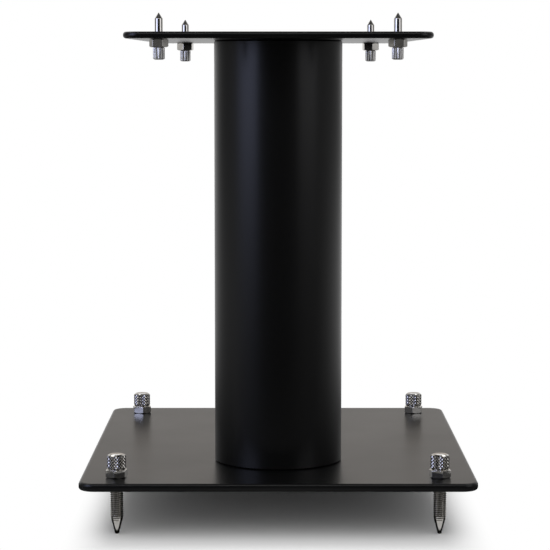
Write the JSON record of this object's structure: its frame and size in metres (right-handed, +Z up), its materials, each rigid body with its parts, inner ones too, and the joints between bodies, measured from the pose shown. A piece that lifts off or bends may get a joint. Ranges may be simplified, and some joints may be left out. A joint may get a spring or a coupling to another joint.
{
  "type": "speaker stand",
  "caption": "Short steel speaker stand: base plate, round column and tapered top plate, with adjustable threaded floor spikes and upward spikes held by lock nuts.",
  "frame": {"origin": "under the centre of the base plate, level with the tips of the floor spikes", "axes": "+Z up, -Y towards the front, where the column stands nearer that edge, +X to the right seen from the front"},
  "size_m": [0.24, 0.285, 0.3145],
  "materials": {
    "black_coat": "satin black powder coat",
    "bright_nickel": "bright nickel plate, knurled and fluted grips, cut threads",
    "black_screw": "black oxide",
    "inner_steel": "bare mild steel"
  },
  "bodies": {
    "stand": {"base_plate": "black_coat", "column_tube": "black_coat", "lower_end_plate": "inner_steel", "upper_end_plate": "inner_steel", "top_plate": "black_coat", "base_screws": "black_screw", "top_screws": "black_screw"},
    "front_left_floor_spike": {"front_left_floor_spike": "bright_nickel"},
    "front_left_floor_nut": {"front_left_floor_nut": "bright_nickel"},
    "front_right_floor_spike": {"front_right_floor_spike": "bright_nickel"},
    "front_right_floor_nut": {"front_right_floor_nut": "bright_nickel"},
    "rear_left_floor_spike": {"rear_left_floor_spike": "bright_nickel"},
    "rear_left_floor_nut": {"rear_left_floor_nut": "bright_nickel"},
    "rear_right_floor_spike": {"rear_right_floor_spike": "bright_nickel"},
    "rear_right_floor_nut": {"rear_right_floor_nut": "bright_nickel"},
    "front_left_top_spike": {"front_left_top_spike": "bright_nickel"},
    "front_left_top_nut": {"front_left_top_nut": "bright_nickel"},
    "front_right_top_spike": {"front_right_top_spike": "bright_nickel"},
    "front_right_top_nut": {"front_right_top_nut": "bright_nickel"},
    "rear_left_top_spike": {"rear_left_top_spike": "bright_nickel"},
    "rear_left_top_nut": {"rear_left_top_nut": "bright_nickel"},
    "rear_right_top_spike": {"rear_right_top_spike": "bright_nickel"},
    "rear_right_top_nut": {"rear_right_top_nut": "bright_nickel"}
  },
  "joints": [
    {"name": "front_left_floor_spike_height", "type": "slide", "parent": "stand", "child": "front_left_floor_spike", "axis": [0, 0, 1], "range_m": [0, 0.02]},
    {"name": "front_left_floor_nut_turn", "type": "hinge", "parent": "stand", "child": "front_left_floor_nut", "pos_m": [-0.098, -0.1205, 0.035], "axis": [0, 0, 1], "range_deg": [-5760, 0]},
    {"name": "front_right_floor_spike_height", "type": "slide", "parent": "stand", "child": "front_right_floor_spike", "axis": [0, 0, 1], "range_m": [0, 0.02]},
    {"name": "front_right_floor_nut_turn", "type": "hinge", "parent": "stand", "child": "front_right_floor_nut", "pos_m": [0.098, -0.1205, 0.035], "axis": [0, 0, 1], "range_deg": [-5760, 0]},
    {"name": "rear_left_floor_spike_height", "type": "slide", "parent": "stand", "child": "rear_left_floor_spike", "axis": [0, 0, 1], "range_m": [0, 0.02]},
    {"name": "rear_left_floor_nut_turn", "type": "hinge", "parent": "stand", "child": "rear_left_floor_nut", "pos_m": [-0.098, 0.1205, 0.035], "axis": [0, 0, 1], "range_deg": [-5760, 0]},
    {"name": "rear_right_floor_spike_height", "type": "slide", "parent": "stand", "child": "rear_right_floor_spike", "axis": [0, 0, 1], "range_m": [0, 0.02]},
    {"name": "rear_right_floor_nut_turn", "type": "hinge", "parent": "stand", "child": "rear_right_floor_nut", "pos_m": [0.098, 0.1205, 0.035], "axis": [0, 0, 1], "range_deg": [-5760, 0]},
    {"name": "front_left_top_spike_height", "type": "slide", "parent": "stand", "child": "front_left_top_spike", "axis": [0, 0, 1], "range_m": [-0.004, 0]},
    {"name": "front_left_top_nut_turn", "type": "hinge", "parent": "stand", "child": "front_left_top_nut", "pos_m": [-0.0709, -0.1225, 0.299], "axis": [0, 0, 1], "range_deg": [0, 1440]},
    {"name": "front_right_top_spike_height", "type": "slide", "parent": "stand", "child": "front_right_top_spike", "axis": [0, 0, 1], "range_m": [-0.004, 0]},
    {"name": "front_right_top_nut_turn", "type": "hinge", "parent": "stand", "child": "front_right_top_nut", "pos_m": [0.0709, -0.1225, 0.299], "axis": [0, 0, 1], "range_deg": [0, 1440]},
    {"name": "rear_left_top_spike_height", "type": "slide", "parent": "stand", "child": "rear_left_top_spike", "axis": [0, 0, 1], "range_m": [-0.004, 0]},
    {"name": "rear_left_top_nut_turn", "type": "hinge", "parent": "stand", "child": "rear_left_top_nut", "pos_m": [-0.0621, 0.0375, 0.299], "axis": [0, 0, 1], "range_deg": [0, 1440]},
    {"name": "rear_right_top_spike_height", "type": "slide", "parent": "stand", "child": "rear_right_top_spike", "axis": [0, 0, 1], "range_m": [-0.004, 0]},
    {"name": "rear_right_top_nut_turn", "type": "hinge", "parent": "stand", "child": "rear_right_top_nut", "pos_m": [0.0621, 0.0375, 0.299], "axis": [0, 0, 1], "range_deg": [0, 1440]}
  ],
  "couplings": [
    {"joint": "front_left_floor_nut_turn", "follows": "front_left_floor_spike_height", "rad_per_m": -5026.5},
    {"joint": "front_right_floor_nut_turn", "follows": "front_right_floor_spike_height", "rad_per_m": -5026.5},
    {"joint": "rear_left_floor_nut_turn", "follows": "rear_left_floor_spike_height", "rad_per_m": -5026.5},
    {"joint": "rear_right_floor_nut_turn", "follows": "rear_right_floor_spike_height", "rad_per_m": -5026.5},
    {"joint": "front_left_top_nut_turn", "follows": "front_left_top_spike_height", "rad_per_m": -6283.2},
    {"joint": "front_right_top_nut_turn", "follows": "front_right_top_spike_height", "rad_per_m": -6283.2},
    {"joint": "rear_left_top_nut_turn", "follows": "rear_left_top_spike_height", "rad_per_m": -6283.2},
    {"joint": "rear_right_top_nut_turn", "follows": "rear_right_top_spike_height", "rad_per_m": -6283.2}
  ]
}
